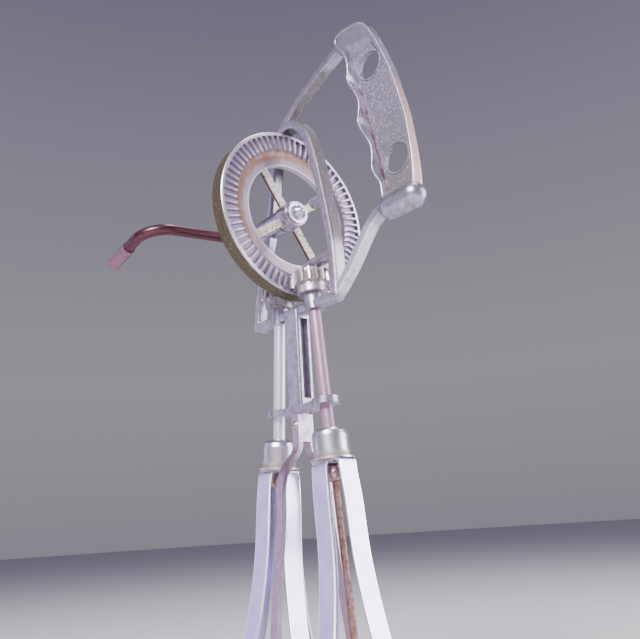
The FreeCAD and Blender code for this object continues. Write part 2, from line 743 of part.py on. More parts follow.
def spindle():
    """The thin rod down the middle of the cage, which turns in the foot bar."""
    bearing = -(mesh_z - foot_bar_thick - 0.6) / math.cos(math.radians(splay))
    rod = cylinder(spindle_radius, Vector(0, 0, bearing), Vector(0, 0, ball_z() - 0.4))
    return rod.fuse(cylinder(pivot_radius, Vector(0, 0, spindle_foot()), Vector(0, 0, bearing + 1)))


def spindle_collar():
    """The collar that carries the feet of the blades."""
    seat = -blade_bottom + 2 * blade_thick + nest_gap
    collar = cylinder(collar_radius, Vector(0, 0, seat), Vector(0, 0, seat + collar_height))
    top_rim = [e for e in collar.Edges if e.CenterOfMass.z > seat + 0.1 and e.Length > collar_radius * 5]
    bore = cylinder(spindle_radius + seat_gap, Vector(0, 0, seat - 5), Vector(0, 0, seat + 9))
    return collar.makeFillet(collar_round, top_rim).cut(bore)


# ---------------------------------------------------------------- legs and foot
leg_path = from_axle(
    [(3.0, -104.0), (3.2, -105.6), (5.0, -108.6), (9.0, -112.8), (11.8, -118.0), (13.0, -130.0),
     (14.5, -144.0), (16.7, -163.0), (18.9, -180.0), (20.8, -197.0), (20.4, -212.0),
     (16.6, -225.0), (10.8, -232.2),
     (6.0, foot_bar_thick + leg_thick / 2 - axle_z)]
)


def leg_strap():
    """One strap bent into a long U, from the tongue down, under the beaters and up again."""
    half = curved_slab(leg_path, leg_thick, leg_width)
    straight = Part.makeBox(
        leg_thick, leg_width, leg_top_z - leg_bend_z, Vector(tongue_thick / 2, -leg_width / 2, leg_bend_z)
    )
    bridge = Part.makeBox(6.0, leg_width, leg_thick, Vector(0, -leg_width / 2, foot_bar_thick))
    half = half.fuse([straight, bridge])
    other = half.copy()
    other.rotate(Vector(0, 0, 0), Z_AXIS, 180)
    strap = half.fuse(other).removeSplitter()
    strap.rotate(Vector(0, 0, 0), Z_AXIS, 90)
    return strap.cut(
        [
            cylinder(rivet_radius + seat_gap, Vector(0, -9, rivet_z), Vector(0, 9, rivet_z)),
            cylinder(rivet_radius + seat_gap, Vector(0, 0, -1), Vector(0, 0, 9)),
        ]
    )


def rivet(start, end):
    """A plain rivet with a low head at each end."""
    run = (end - start).normalize()
    shank = cylinder(rivet_radius, start, end)
    heads = []
    for place, way in ((start, run * -1), (end, run)):
        heads.append(Part.makeCone(rivet_head, rivet_head * rivet_head_taper, rivet_head_height, place, way))
    return shank.fuse(heads)


def leg_rivet():
    reach = tongue_thick / 2 + leg_thick
    return rivet(Vector(0, -reach, rivet_z), Vector(0, reach, rivet_z))


def foot_rivet():
    """Holds the strap on the foot bar, blind from below."""
    top = foot_bar_thick + leg_thick
    crown = rivet_head * rivet_head_taper
    shank = cylinder(rivet_radius, Vector(0, 0, foot_floor), Vector(0, 0, top))
    head = Part.makeCone(rivet_head, crown, rivet_head_height, Vector(0, 0, top), Z_AXIS)
    return shank.fuse(head)


def foot_bar():
    """A flat bar across the foot, with a blind pivot hole under each beater."""
    half_length = beater_axis_x(foot_bar_thick / 2) + foot_bar_overhang
    corner = Vector(-half_length, -foot_bar_width / 2, 0)
    bar = Part.makeBox(2 * half_length, foot_bar_width, foot_bar_thick, corner)
    ends = [e for e in bar.Edges if abs(e.tangentAt(0).z) > 0.5]
    bar = bar.makeFillet(foot_bar_width * 0.45, ends)
    cuts = [cylinder(rivet_radius + seat_gap, Vector(0, 0, foot_floor), Vector(0, 0, 9))]
    for side in (-1, 1):
        low = spindle_foot() - end_gap
        socket = cylinder(pivot_radius + running_gap, Vector(0, 0, low), Vector(0, 0, -blade_bottom))
        cuts.append(on_beater(socket, side))
    return bar.cut(cuts)


# ---------------------------------------------------------------- write the pieces
def pieces():
    made = {
        "frame_casting": frame_casting(),
        "leg_strap": leg_strap(),
        "leg_rivet": leg_rivet(),
        "foot_bar": foot_bar(),
        "foot_rivet": foot_rivet(),
        "gear_wheel": gear_wheel(),
        "crank_rod": crank_rod(),
        "crank_ferrule": crank_ferrule(),
        "hub_pin": hub_pin(),
        "thrust_washer": thrust_washer(),
        "hub_washer": hub_washer(),
        "axle_nut": axle_nut(),
    }
    beater = {
        "drive_shaft": drive_shaft(),
        "pinion": pinion(),
        "pinion_pin": pinion_pin(),
        "blade_cap": blade_cap(),
        "outer_blade": blade_strip(0),
        "inner_blade": blade_strip(1),
        "ball_nut": ball_nut(),
        "spindle": spindle(),
        "spindle_collar": spindle_collar(),
    }
    for prefix, side in (("left", -1), ("right", 1)):
        for name, shape in beater.items():
            made[prefix + "_" + name] = on_beater(shape, side)
    return made


os.makedirs("parts", exist_ok=True)
for node, solid in pieces().items():
    print(node, "solids", len(solid.Solids), "valid", solid.isValid(), "volume", round(solid.Volume, 1))
    solid.exportStep("parts/" + node + ".step")
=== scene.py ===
"""Looks of a hand-cranked egg whisk: worn metal finishes, cast and ribbed detail, floor, light, camera.

Metres, +Z up the stem, the crank's axle along X at AXLE_Z, the whisk standing on z = 0.
"""

import logging
import math
from dataclasses import dataclass
from enum import Enum
from typing import Any, Sequence

import bpy
import numpy as np
from mathutils import Matrix, Vector


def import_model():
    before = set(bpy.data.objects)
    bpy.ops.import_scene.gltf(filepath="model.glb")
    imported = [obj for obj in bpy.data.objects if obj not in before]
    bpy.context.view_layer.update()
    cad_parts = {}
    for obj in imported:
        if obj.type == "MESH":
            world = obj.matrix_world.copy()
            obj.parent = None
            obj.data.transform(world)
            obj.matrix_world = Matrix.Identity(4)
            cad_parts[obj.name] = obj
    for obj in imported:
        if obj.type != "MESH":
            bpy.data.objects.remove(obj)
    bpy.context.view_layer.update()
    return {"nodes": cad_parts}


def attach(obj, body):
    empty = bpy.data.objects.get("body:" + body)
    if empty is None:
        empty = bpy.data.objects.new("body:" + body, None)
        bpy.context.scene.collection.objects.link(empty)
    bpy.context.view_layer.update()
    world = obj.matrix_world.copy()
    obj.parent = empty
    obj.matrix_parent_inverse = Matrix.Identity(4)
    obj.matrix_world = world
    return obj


LOG = logging.getLogger("egg_whisk")
MM = 0.001
AXLE_Z = 0.238
MESH_Z = 0.203
MESH_OFFSET = 0.0114
SPLAY = math.atan(0.084)
Colour = tuple[float, float, float]
Span = tuple[float, ...]
Pattern = tuple[float, ...]  # clouds per metre and octaves, as Net.noise takes them


def mm(*values: float) -> Span:
    """Millimetres to metres.

    Args:
        values: lengths in millimetres.

    Returns:
        The same lengths in metres.
    """
    return tuple(value * MM for value in values)


class Side(Enum):
    """Which beater a piece belongs to; the value is the sign of its X."""

    LEFT = -1
    RIGHT = 1


class Face(Enum):
    """The two faces of the wheel, by the sign of their X."""

    FRONT = 1
    BACK = -1


# ---------------------------------------------------------------- shader arithmetic
class Shade:
    """A node's output socket that takes part in Python arithmetic."""

    def __init__(self, net: "Net", socket: bpy.types.NodeSocket) -> None:
        """Keeps the net and the socket.

        Args:
            net: the tree the socket belongs to.
            socket: a node's output.
        """
        self.net = net
        self.socket = socket

    def _math(self, operation: str, first: Any, second: Any = 0.0) -> "Shade":
        """One Math node on two values.

        Args:
            operation: the node's operation.
            first: a number or a shade.
            second: a number or a shade, where the operation takes two.

        Returns:
            The node's value.
        """
        return self.net.node("ShaderNodeMath", {"operation": operation}, {0: first, 1: second})

    def __add__(self, other: Any) -> "Shade":
        """Sum."""
        return self._math("ADD", self, other)

    __radd__ = __add__

    def __sub__(self, other: Any) -> "Shade":
        """Difference."""
        return self._math("SUBTRACT", self, other)

    def __rsub__(self, other: Any) -> "Shade":
        """Difference, the other way round."""
        return self._math("SUBTRACT", other, self)

    def __mul__(self, other: Any) -> "Shade":
        """Product."""
        return self._math("MULTIPLY", self, other)

    __rmul__ = __mul__

    def __abs__(self) -> "Shade":
        """Size without sign."""
        return self._math("ABSOLUTE", self)

    def most(self, other: Any) -> "Shade":
        """The larger of two values."""
        return self._math("MAXIMUM", self, other)

    def root(self) -> "Shade":
        """Square root."""
        return self._math("SQRT", self)

    def rise(self, low: float, high: float) -> "Shade":
        """A smooth step.

        Args:
            low: the value at which the step starts, as 0.
            high: the value at which it ends, as 1.

        Returns:
            A mask from 0 to 1.
        """
        settings = {"interpolation_type": "SMOOTHSTEP"}
        return self.net.node("ShaderNodeMapRange", settings, {"Value": self, "From Min": low, "From Max": high})

    def fall(self, low: float, high: float) -> "Shade":
        """The opposite of rise.

        Args:
            low: the value up to which the mask is 1.
            high: the value from which it is 0.

        Returns:
            A mask from 0 to 1.
        """
        return 1.0 - self.rise(low, high)

    def band(self, low: float, high: float, soft: float) -> "Shade":
        """A mask that is 1 between two values.

        Args:
            low: the middle of the lower edge.
            high: the middle of the upper edge.
            soft: half the width of each edge.

        Returns:
            A mask from 0 to 1.
        """
        return self.rise(low - soft, low + soft) * self.fall(high - soft, high + soft)


class Net:
    """The node tree of one material."""

    def __init__(self, name: str) -> None:
        """Starts an empty tree.

        Args:
            name: name of the material.
        """
        self.material = bpy.data.materials.new(name)
        self.material.use_nodes = True
        self.tree = self.material.node_tree
        self.tree.nodes.clear()
        self.place = self.node("ShaderNodeTexCoord", {}, {}, "Object")
        split = [self.node("ShaderNodeSeparateXYZ", {}, {0: self.place}, axis) for axis in "XYZ"]
        self.x, self.y, self.z = split

    def node(self, kind: str, settings: dict[str, Any], values: dict[Any, Any], output: Any = 0) -> Shade:
        """Adds one node.

        Args:
            kind: the node's type.
            settings: its own properties.
            values: numbers, colours or shades for its sockets, by name or place.
            output: which output to hand back.

        Returns:
            The chosen output.
        """
        made = self.tree.nodes.new(kind)
        for key, setting in settings.items():
            setattr(made, key, setting)
        for key, value in values.items():
            if isinstance(value, Shade):
                self.tree.links.new(value.socket, made.inputs[key])
            elif isinstance(value, tuple) and len(value) == 3 and made.inputs[key].type == "RGBA":
                made.inputs[key].default_value = (*value, 1.0)
            else:
                made.inputs[key].default_value = value
        return Shade(self, made.outputs[output])

    def noise(self, scale: float, detail: float, stretch: Sequence[float] = (1, 1, 1)) -> Shade:
        """Cloudy noise, 0 to 1.

        Args:
            scale: clouds per metre.
            detail: octaves.
            stretch: how much closer the clouds lie along each axis.

        Returns:
            The noise value.
        """
        where = self.place
        if tuple(stretch) != (1, 1, 1):
            where = self.node("ShaderNodeMapping", {}, {"Vector": self.place, "Scale": tuple(stretch)})
        values = {"Vector": where, "Scale": scale, "Detail": detail, "Roughness": 0.6}
        return self.node("ShaderNodeTexNoise", {}, values)

    def normal(self) -> tuple[Shade, Shade, Shade]:
        """The surface's own direction. Only for pieces that never turn.

        Returns:
            Its x, y and z.
        """
        out = self.node("ShaderNodeNewGeometry", {}, {}, "Normal")
        return tuple(self.node("ShaderNodeSeparateXYZ", {}, {0: out}, axis) for axis in "XYZ")

    def mix(self, mask: Any, first: Any, second: Any) -> Shade:
        """Blends two colours.

        Args:
            mask: how much of the second, 0 to 1.
            first: the colour where the mask is 0.
            second: the colour where it is 1.

        Returns:
            The blended colour.
        """
        settings = {"data_type": "RGBA", "clamp_factor": True}
        return self.node("ShaderNodeMix", settings, {0: mask, 6: first, 7: second}, 2)

    def blend(self, mask: Any, first: Any, second: Any) -> Shade:
        """Blends two numbers in the same way.

        Args:
            mask: how much of the second, 0 to 1.
            first: the number where the mask is 0.
            second: the number where it is 1.

        Returns:
            The blended number.
        """
        settings = {"data_type": "FLOAT", "clamp_factor": True}
        return self.node("ShaderNodeMix", settings, {0: mask, 2: first, 3: second}, 0)

    def bump(self, height: Shade, distance: float, strength: float) -> Shade:
        """Turns a height pattern into a normal.

        Args:
            height: the pattern.
            distance: the height of one unit of it, in metres.
            strength: share of the effect, 0 to 1.

        Returns:
            The normal.
        """
        values = {"Height": height, "Distance": distance, "Strength": strength}
        return self.node("ShaderNodeBump", {}, values)

    def close(self, colour: Any, rough: Any, metal: Any, normal: Shade) -> None:
        """Ends the tree in one metal-and-rust shader.

        Args:
            colour: base colour.
            rough: roughness.
            metal: how metallic.
            normal: the bumped normal.
        """
        values = {"Base Color": colour, "Roughness": rough, "Metallic": metal, "Normal": normal}
        shader = self.node("ShaderNodeBsdfPrincipled", {}, values)
        out = self.tree.nodes.new("ShaderNodeOutputMaterial")
        self.tree.links.new(shader.socket, out.inputs["Surface"])

    def along_beater(self, side: Side) -> tuple[Shade, Shade]:
        """Place relative to a beater's splayed axis.

        Args:
            side: which beater.

        Returns:
            Height above the gear mesh along the axis, and distance across the axis in the frame's plane.
        """
        lean, stand = -side.value * math.sin(SPLAY), math.cos(SPLAY)
        off_x, off_z = self.x - side.value * MESH_OFFSET, self.z - MESH_Z
        return off_x * lean + off_z * stand, off_x * stand - off_z * lean


# ---------------------------------------------------------------- finishes
@dataclass(frozen=True)
class Finish:
    """A worn metal: its name and its two main tones."""

    name: str
    light: Colour
    dark: Colour

    def material(self) -> bpy.types.Material:
        """Builds the material.

        Returns:
            A new material with this finish.
        """
        net = Net(self.name)
        self.paint(net)
        return net.material

    def paint(self, net: Net) -> None:
        """Adds the finish's nodes.

        Args:
            net: an empty tree.
        """
        raise NotImplementedError


@dataclass(frozen=True)
class CastAlloy(Finish):
    """Sand-grained silver alloy, painted with a highlight on the lower strut, and darkened towards tarnish brown
    on the faces that point down, partly tarnish and partly painted shade.

    A Span gives the places along an axis between which a mask rises or falls; heights are from the axle.
    """

    # tarnish brown, also laid on the faces that point down as painted shade
    tarnish: Colour = (0.16, 0.13, 0.09)
    olive: Colour = (0.085, 0.08, 0.06)
    rust: Colour = (0.34, 0.15, 0.07)
    web: Colour = (0.17, 0.15, 0.21)
    green: Colour = (0.15, 0.17, 0.10)
    pink: Colour = (0.62, 0.36, 0.35)
    crease: Colour = (0.20, 0.085, 0.075)
    speckle_and_highlight: Colour = (0.88, 0.86, 0.92)
    grip_front: Span = mm(41.0, 43.0)
    grip_foot: Span = mm(-19, -16)
    grip_top: Span = mm(53, 61)
    web_front: Span = mm(-0.3, 0.5)
    web_side: Span = mm(1.0, 2.4)
    green_fade: Span = mm(-2, 26)
    crease_top_x: float = 0.0493
    crease_top_rise: float = 0.0538
    crease_lean: float = 0.1885
    crease_line: Span = mm(0.15, 0.6)
    crease_side: Span = mm(1.4, 2.0)
    crease_fade: Span = mm(30, 46)
    palm_edge: Span = mm(63, 69)
    palm_fade: Span = mm(20, 38)
    hoop_edge: Span = mm(30, 34)
    hoop_foot: Span = mm(-44, -40)
    hoop_front: Span = mm(3, 9)
    strut_start: Span = mm(28, 33)
    strut_end: Span = mm(50, 58)
    strut_top: Span = mm(-26, -20)
    rusty_stem: Span = mm(-88, -66, 6)
    grain: Pattern = (2100, 5)
    cloud: Pattern = (330, 3)
    blotch: Pattern = (60, 3)
    speck: Pattern = (1250, 1)
    fine: Pattern = (1150, 3)
    relief: float = 0.13 * MM

    def handle(self, net: Net, colour: Shade, cloud: Shade, blotch: Shade, speck: Shade) -> tuple[Shade, Shade]:
        """The handle's speckled web, red-brown crease and pink palm edge.

        Args:
            net: the tree.
            colour: the colour so far.
            cloud: fine clouds.
            blotch: broad clouds.
            speck: bright specks.

        Returns:
            The colour, and where the web is.
        """
        facing, _, _ = net.normal()
        rise = net.z - AXLE_Z
        held = net.x.rise(*self.grip_front) * rise.rise(*self.grip_foot) * rise.fall(*self.grip_top)
        crease_x = self.crease_top_x + (self.crease_top_rise - rise) * self.crease_lean
        behind = net.x - crease_x
        web = held * behind.rise(*self.web_front) * abs(net.y).fall(*self.web_side)
        fine = net.noise(*self.fine)
        webbing = net.mix((fine * 0.6 + cloud * 0.4).rise(0.46, 0.78), self.web, self.light)
        low = rise.fall(*self.green_fade) * blotch.rise(0.3, 0.6)
        webbing = net.mix(low * 0.55, webbing, self.green)
        colour = net.mix(web * 0.9, colour, webbing)
        grainy = held * speck
        colour = net.mix(grainy * 0.6, colour, self.speckle_and_highlight)
        line = held * cloud.rise(0.3, 0.55) * abs(behind).fall(*self.crease_line)
        line = line * abs(net.y).fall(*self.crease_side)
        colour = net.mix(line * rise.fall(*self.crease_fade) * 0.85, colour, self.crease)
        palm = held * facing.rise(0.75, 0.95) * net.x.rise(*self.palm_edge)
        colour = net.mix(palm * rise.fall(*self.palm_fade) * 0.75, colour, self.pink)
        return colour, web

    def paint(self, net: Net) -> None:
        """Fine grain, soft clouds, olive on the hoop's front bar, a painted highlight on the strut, tarnish and
        painted shade on the undersides, and rust on the stem.
        """
        facing, across, up = net.normal()
        grain, cloud, blotch = net.noise(*self.grain), net.noise(*self.cloud), net.noise(*self.blotch)
        speck = net.noise(*self.speck).rise(0.62, 0.74)
        rise = net.z - AXLE_Z
        colour = net.mix(cloud.rise(0.3, 0.75) * 0.8, self.light, self.dark)
        colour, web = self.handle(net, colour, cloud, blotch, speck)
        on_hoop = net.x.fall(*self.hoop_edge) * rise.rise(*self.hoop_foot)
        front = on_hoop * net.x.rise(*self.hoop_front) * facing.rise(-0.1, 0.5) * blotch.rise(0.2, 0.45)
        colour = net.mix(front * 0.85, colour, net.mix(grain.rise(0.45, 0.65), self.olive, self.dark))
        # painted highlight: the strut's lower face is whitened towards near-white as if lit
        whitened = net.x.rise(*self.strut_start) * net.x.fall(*self.strut_end) * rise.fall(*self.strut_top)
        colour = net.mix(whitened * 0.75, colour, self.speckle_and_highlight)
        # painted shade: faces that point down are darkened towards tarnish brown, partly real tarnish and partly
        # painted shade
        under = up.fall(-0.8, -0.4) * cloud.rise(0.45, 0.7)
        colour = net.mix(under * 0.4, colour, self.tarnish)
        stem = rise.band(*self.rusty_stem) * across.rise(0.2, 0.8)
        colour = net.mix(stem * cloud.rise(0.4, 0.6) * 0.8, colour, self.rust)
        dull = (web * 0.7).most(front * 0.5).most(stem * 0.7)
        rough = net.blend(dull, net.blend(cloud, 0.26, 0.42), 0.62)
        height = grain * 0.5 + speck * (0.25 + web * 0.5) + cloud * 0.7
        net.close(colour, rough, net.blend(dull, 0.88, 0.45), net.bump(height, self.relief, 0.65))


@dataclass(frozen=True)
class WheelMetal(Finish):
    """The wheel's plated casting, with bands of wear by distance from the axle.

    A Span of three is a band: its inner edge, its outer edge and half the width of each edge.
    """

    bronze: Colour = (0.12, 0.10, 0.055)
    rust: Colour = (0.34, 0.17, 0.08)
    mauve: Colour = (0.30, 0.22, 0.25)
    cream: Colour = (0.66, 0.60, 0.55)
    brown: Colour = (0.11, 0.05, 0.045)
    floor: Colour = (0.36, 0.30, 0.40)
    rib: Colour = (0.50, 0.44, 0.58)
    edge: Colour = (0.58, 0.53, 0.62)
    tooth_band: Span = mm(31.2, 38.3, 0.25)
    floor_reach: Span = mm(2.4, 3.5)
    tip_reach: Span = mm(3.3, 3.65)
    lip_start: Span = mm(38.1, 38.4)
    face_reach: Span = mm(3.3, 3.6)
    rim_start: Span = mm(39.75, 39.95)
    ring_band: Span = mm(24.4, 31.0, 0.3)
    groove_band: Span = mm(27.6, 31.8, 0.9)
    rusty_corner: Span = mm(-16, 34)
    edge_band: Span = mm(24.0, 25.0, 0.25)
    spoke_band: Span = mm(6.6, 24.0, 0.4)
    spoke_face: Span = mm(-1.15, -0.75)
    grain: Pattern = (1500, 4)
    cloud: Pattern = (330, 4)
    blotch: Pattern = (60, 3)
    fine: Pattern = (900, 4)
    relief: float = 0.14 * MM

    def paint(self, net: Net) -> None:
        """Lilac ribs on a darker floor, bronze rim, rusty groove, mauve ring, cream spoke faces; the spokes' backs
        and sides are dark brown, partly rust and partly painted shade.
        """
        rise = net.z - AXLE_Z
        radius = (net.y * net.y + rise * rise).root()
        reach = abs(net.x)
        grain, cloud = net.noise(*self.grain), net.noise(*self.cloud)
        blotch, fine = net.noise(*self.blotch), net.noise(*self.fine)
        colour = net.mix(cloud.rise(0.35, 0.7), self.light, self.dark)
        toothed = radius.band(*self.tooth_band)
        floor = toothed * reach.fall(*self.floor_reach)
        colour = net.mix(floor, colour, self.floor)
        tips = toothed * reach.rise(*self.tip_reach)
        colour = net.mix(tips * cloud.fall(0.66, 0.82) * 0.8, colour, self.rib)
        lip = radius.rise(*self.lip_start) * reach.rise(*self.face_reach)
        colour = net.mix(lip * 0.8, colour, self.edge)
        band = radius.rise(*self.rim_start) * reach.fall(*self.face_reach)
        tarnished = band * cloud.rise(0.08, 0.34)
        colour = net.mix(tarnished, colour, net.mix(fine.rise(0.5, 0.75), self.bronze, self.dark))
        ring = radius.band(*self.ring_band)
        colour = net.mix(ring * 0.9, colour, net.mix(cloud.rise(0.35, 0.65), self.mauve, self.dark))
        corner = (rise - net.y).rise(*self.rusty_corner)
        groove = radius.band(*self.groove_band) * (blotch * 0.8 + corner * 0.65).rise(0.5, 0.95)
        rusty = groove * (cloud * 0.6 + fine * 0.4).rise(0.34, 0.6)
        colour = net.mix(rusty * 0.85, colour, self.rust)
        edge = radius.band(*self.edge_band)
        colour = net.mix(edge * 0.7, colour, self.edge)
        # the spokes' backs and sides are dark brown, partly rust-brown and partly painted shade
        spokes = radius.band(*self.spoke_band)
        whitened = net.x.rise(*self.spoke_face) * fine.fall(0.52, 0.66)
        spoke_tone = net.mix(whitened, self.brown, self.cream)
        colour = net.mix(spokes, colour, spoke_tone)
        dull = (rusty * 0.9).most(band * 0.75).most(spokes * 0.7)
        rough = net.blend(dull, net.blend(cloud, 0.24, 0.42), 0.66)
        metal = net.blend((rusty * 0.9).most(spokes * 0.55).most(floor * 0.95).most(ring * 0.6), 0.92, 0.2)
        height = grain * (0.3 + 0.8 * band) + cloud * 0.6
        net.close(colour, rough, metal, net.bump(height, self.relief, 0.65))


@dataclass(frozen=True)
class RodMetal(Finish):
    """A drawn or turned rod, with long streaks and stains.

    Attributes:
        rough: its roughness where it is clean.
        stain: the stains' colour.
        stained: how far the stains spread, 0 to 1.
        streak: how much closer the streaks lie along each axis.
        metal: how metallic it is where it is clean.
        depth: the relief's height, in millimetres.
        grooves: the streaks' pattern.
        cloud: the stains' pattern.
        fine: the fine relief's pattern.
    """

    rough: float
    stain: Colour
    stained: float
    streak: tuple[float, float, float] = (1.0, 1.0, 0.12)
    metal: float = 0.95
    depth: float = 0.08
    grooves: Pattern = (1400, 3)
    cloud: Pattern = (380, 5)
    fine: Pattern = (2400, 3)

    def paint(self, net: Net) -> None:
        """Two tones in streaks, with stains where the clouds are densest."""
        streaks = net.noise(*self.grooves, self.streak)
        cloud, fine = net.noise(*self.cloud), net.noise(*self.fine)
        colour = net.mix(streaks.rise(0.3, 0.8) * 0.7, self.light, self.dark)
        stain = cloud.rise(0.62 - 0.3 * self.stained, 0.78 - 0.2 * self.stained) * min(1.0, 0.35 + self.stained)
        colour = net.mix(stain, colour, self.stain)
        clean = net.blend(streaks, self.rough * 0.75, self.rough * 1.3)
        rough = net.blend(stain, clean, min(0.8, self.rough + 0.3))
        height = streaks * 0.35 + fine * (0.15 + stain * 0.7)
        metal = net.blend(stain, self.metal, self.metal * 0.45)
        net.close(colour, rough, metal, net.bump(height, self.depth * MM, 0.6))


@dataclass(frozen=True)
class BladeSteel(Finish):
    """Polished strip steel with a near-white painted highlight along its edges and fine scratches along it."""

    side: Side
    crosswise: bool
    water: Colour = (0.33, 0.24, 0.2)
    # bright: the near-white of the painted highlight on the blade edges
    bright: Colour = (0.99, 0.98, 1.0)
    highlight_edge_start: Span = mm(3.75, 4.1)
    head_start: Span = mm(-82, -78.3)
    scratch: Pattern = (1700, 3)
    along: tuple[float, float, float] = (1, 1, 0.06)
    cloud: Pattern = (120, 3)
    spot: Pattern = (900, 3)
    relief: float = 0.06 * MM

    def paint(self, net: Net) -> None:
        """Steel tinted lilac, a painted reflection of a purple surround; a near-white highlight is painted along
        the strip's two long edges, and water stains cloud it.
        """
        height, across = net.along_beater(self.side)
        width = abs(across) if self.crosswise else abs(net.y)
        edge = width.rise(*self.highlight_edge_start)
        scratch = net.noise(*self.scratch, self.along)
        cloud, spot = net.noise(*self.cloud), net.noise(*self.spot)
        colour = net.mix(cloud.rise(0.25, 0.8) * 0.8, self.light, self.dark)
        # painted highlight: the strip's long edges are mixed towards near-white
        colour = net.mix(edge * 0.9, colour, self.bright)
        stain = spot.rise(0.66, 0.76) * cloud.rise(0.4, 0.6)
        head = height.rise(*self.head_start) * cloud.rise(0.35, 0.6)
        spots = stain.most(head * 0.7)
        colour = net.mix(spots * 0.7, colour, self.water)
        rough = net.blend(spots, net.blend(scratch, 0.13, 0.27), 0.5)
        net.close(colour, rough, 1.0, net.bump(scratch * 0.5 + cloud * 0.9, self.relief, 0.5))


@dataclass(frozen=True)
class CapPlate(Finish):
    """Bright tinned cap with brown tarnish collected above its flange."""

    side: Side
    brown: Colour = (0.3, 0.2, 0.125)
    flange: Colour = (0.9, 0.88, 0.92)
    tarnish_top: Span = mm(-76.4, -74.2)
    tarnish_foot: Span = mm(-77.6, -76.9)
    flange_top: Span = mm(-77.3, -77.1)
    cloud: Pattern = (240, 4)
    fine: Pattern = (1800, 3)
    runs: Pattern = (420, 3)
    down: tuple[float, float, float] = (1, 1, 0.3)
    relief: float = 0.07 * MM

    def paint(self, net: Net) -> None:
        """Tarnish by height along the axis, and a bright flange."""
        height, _ = net.along_beater(self.side)
        cloud, fine, runs = net.noise(*self.cloud), net.noise(*self.fine), net.noise(*self.runs, self.down)
        colour = net.mix(cloud.rise(0.4, 0.72), self.light, self.dark)
        low = height.fall(*self.tarnish_top) * height.rise(*self.tarnish_foot)
        tarnish = (low * runs.rise(0.15, 0.5)).most(cloud.rise(0.66, 0.8) * 0.5)
        colour = net.mix(tarnish * 0.85, colour, self.brown)
        rim = height.fall(*self.flange_top)
        colour = net.mix(rim * 0.7, colour, self.flange)
        rough = net.blend(tarnish, net.blend(cloud, 0.28, 0.4), 0.55)
        net.close(colour, rough, net.blend(tarnish, 1.0, 0.6), net.bump(fine * 0.4 + runs * 0.6, self.relief, 0.6))


@dataclass(frozen=True)
class PinionMetal(Finish):
    """Cut teeth worn white at the tips, brown grease stains between them."""

    side: Side
    grease: Colour = (0.15, 0.10, 0.08)
    bright: Colour = (0.93, 0.90, 0.86)
    tooth_foot: Span = mm(-2.7, -2.3)
    grease_top: Span = mm(7.3, 7.9)
    grease_foot: Span = mm(6.9, 7.1)
    tip_start: Span = mm(8.0, 8.4)
    cloud: Pattern = (500, 4)
    fine: Pattern = (2200, 3)
    relief: float = 0.1 * MM

    def paint(self, net: Net) -> None:
        """Wear by distance from the beater's axis."""
        height, across = net.along_beater(self.side)
        radius = (across * across + net.y * net.y).root()
        cloud, fine = net.noise(*self.cloud), net.noise(*self.fine)
        toothed = height.rise(*self.tooth_foot)
        colour = net.mix(cloud.rise(0.35, 0.65), self.light, self.dark)
        between = toothed * radius.fall(*self.grease_top) * radius.rise(*self.grease_foot)
        colour = net.mix(between * 0.8, colour, self.grease)
        whitened = toothed * radius.rise(*self.tip_start)
        colour = net.mix(whitened * 0.7, colour, self.bright)
        rough = net.blend(between, net.blend(cloud, 0.28, 0.48), 0.7)
        metal = net.blend(between, 0.85, 0.4)
        net.close(colour, rough, metal, net.bump(cloud * 0.8 + fine * 0.4, self.relief, 0.7))


# The lilac tint in these metals' tones is a painted reflection of a purple surround, laid over each metal's own
# colour.
SILVER = CastAlloy("cast_silver_alloy", (0.47, 0.43, 0.53), (0.27, 0.24, 0.31))
WHEEL = WheelMetal("plated_wheel_metal", (0.45, 0.39, 0.49), (0.25, 0.20, 0.26))
COPPER_ROD = RodMetal("plum_brown_rod", (0.12, 0.045, 0.062), (0.07, 0.026, 0.036), 0.34, (0.09, 0.035, 0.04), 0.2,
                      (0.3, 0.25, 1.0), 0.85, 0.04)
ROSE_SLEEVE = RodMetal("rose_brown_sleeve", (0.29, 0.165, 0.21), (0.25, 0.135, 0.175), 0.4, (0.2, 0.09, 0.1), 0.1,
                       (0.12, 1.0, 1.0), 0.85, 0.008)
SILVER_SHAFT = RodMetal("silver_shaft", (0.86, 0.82, 0.92), (0.66, 0.60, 0.72), 0.38, (0.5, 0.38, 0.34), 0.15,
                        (1.0, 1.0, 0.12), 0.7, 0.03)
MAUVE_SHAFT = RodMetal("mauve_shaft", (0.42, 0.27, 0.38), (0.32, 0.18, 0.26), 0.42, (0.34, 0.2, 0.2), 0.25,
                       (1.0, 1.0, 0.12), 0.5, 0.03)
RUSTY_SPINDLE = RodMetal("rusty_spindle", (0.42, 0.28, 0.28), (0.21, 0.11, 0.10), 0.42, (0.22, 0.095, 0.06), 0.75,
                         (1.0, 1.0, 0.35), 0.75, 0.16)
LEG = RodMetal("lilac_pink_leg", (0.50, 0.38, 0.49), (0.32, 0.21, 0.28), 0.3, (0.37, 0.23, 0.24), 0.3,
               (1.0, 1.0, 0.2), 0.9, 0.1)
FOOT = RodMetal("worn_foot", (0.50, 0.46, 0.52), (0.32, 0.28, 0.32), 0.34, (0.32, 0.19, 0.14), 0.3,
                (0.2, 1.0, 1.0))
BRONZE = RodMetal("bronze_ball", (0.58, 0.42, 0.35), (0.40, 0.28, 0.22), 0.3, (0.2, 0.11, 0.08), 0.3)
WASHER = RodMetal("lilac_washer", (0.58, 0.53, 0.66), (0.36, 0.31, 0.42), 0.28, (0.36, 0.25, 0.22), 0.2)
PIN = RodMetal("dull_pin", (0.48, 0.42, 0.42), (0.28, 0.22, 0.21), 0.42, (0.14, 0.07, 0.06), 0.4)


